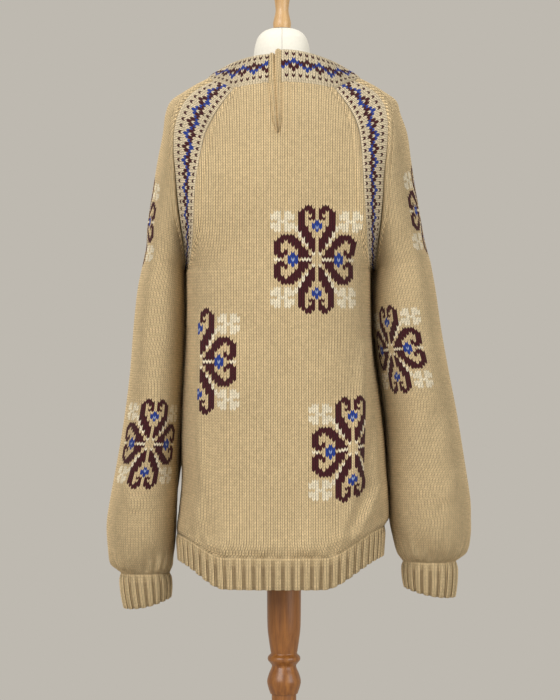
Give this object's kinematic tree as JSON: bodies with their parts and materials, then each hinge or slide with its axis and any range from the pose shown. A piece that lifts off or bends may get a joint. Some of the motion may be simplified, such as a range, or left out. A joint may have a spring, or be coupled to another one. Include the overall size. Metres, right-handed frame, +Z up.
{
  "type": "sweater on a dress form",
  "caption": "Oversized hand-knitted raglan pullover with ribbed hem and cuffs, back neck slit and flower motifs, worn by a limbless dress form on a turned wooden stand.",
  "frame": {"origin": "on the floor, at the centre of the stand base's flat underside, under the pole", "axes": "+Z up; the sweater's back faces -Y and its front +Y, so the wearer's left is -X"},
  "size_m": [0.561, 0.38, 1.56],
  "materials": {
    "wool_beige": "hand-knitted oatmeal wool, matt and slightly fuzzy",
    "wool_patterned": "hand-knitted pale wool with maroon and blue stranded zigzags",
    "form_cotton": "smooth cream cotton jersey cover",
    "wood_honey": "satin varnished honey-brown wood",
    "wood_pale": "satin varnished pale wood"
  },
  "bodies": {
    "root": {"back_panel": "wool_beige", "front_panel": "wool_beige", "sleeve_left": "wool_beige", "sleeve_right": "wool_beige", "hem_rib": "wool_beige", "cuff_left": "wool_beige", "cuff_right": "wool_beige", "placket_left": "wool_beige", "placket_right": "wool_beige", "neckband": "wool_patterned", "raglan_strip_back_left": "wool_patterned", "raglan_strip_back_right": "wool_patterned", "raglan_strip_front_left": "wool_patterned", "raglan_strip_front_right": "wool_patterned", "form_torso": "form_cotton", "neck_finial": "wood_pale", "pole": "wood_honey", "stand_base": "wood_honey"}
  },
  "joints": []
}
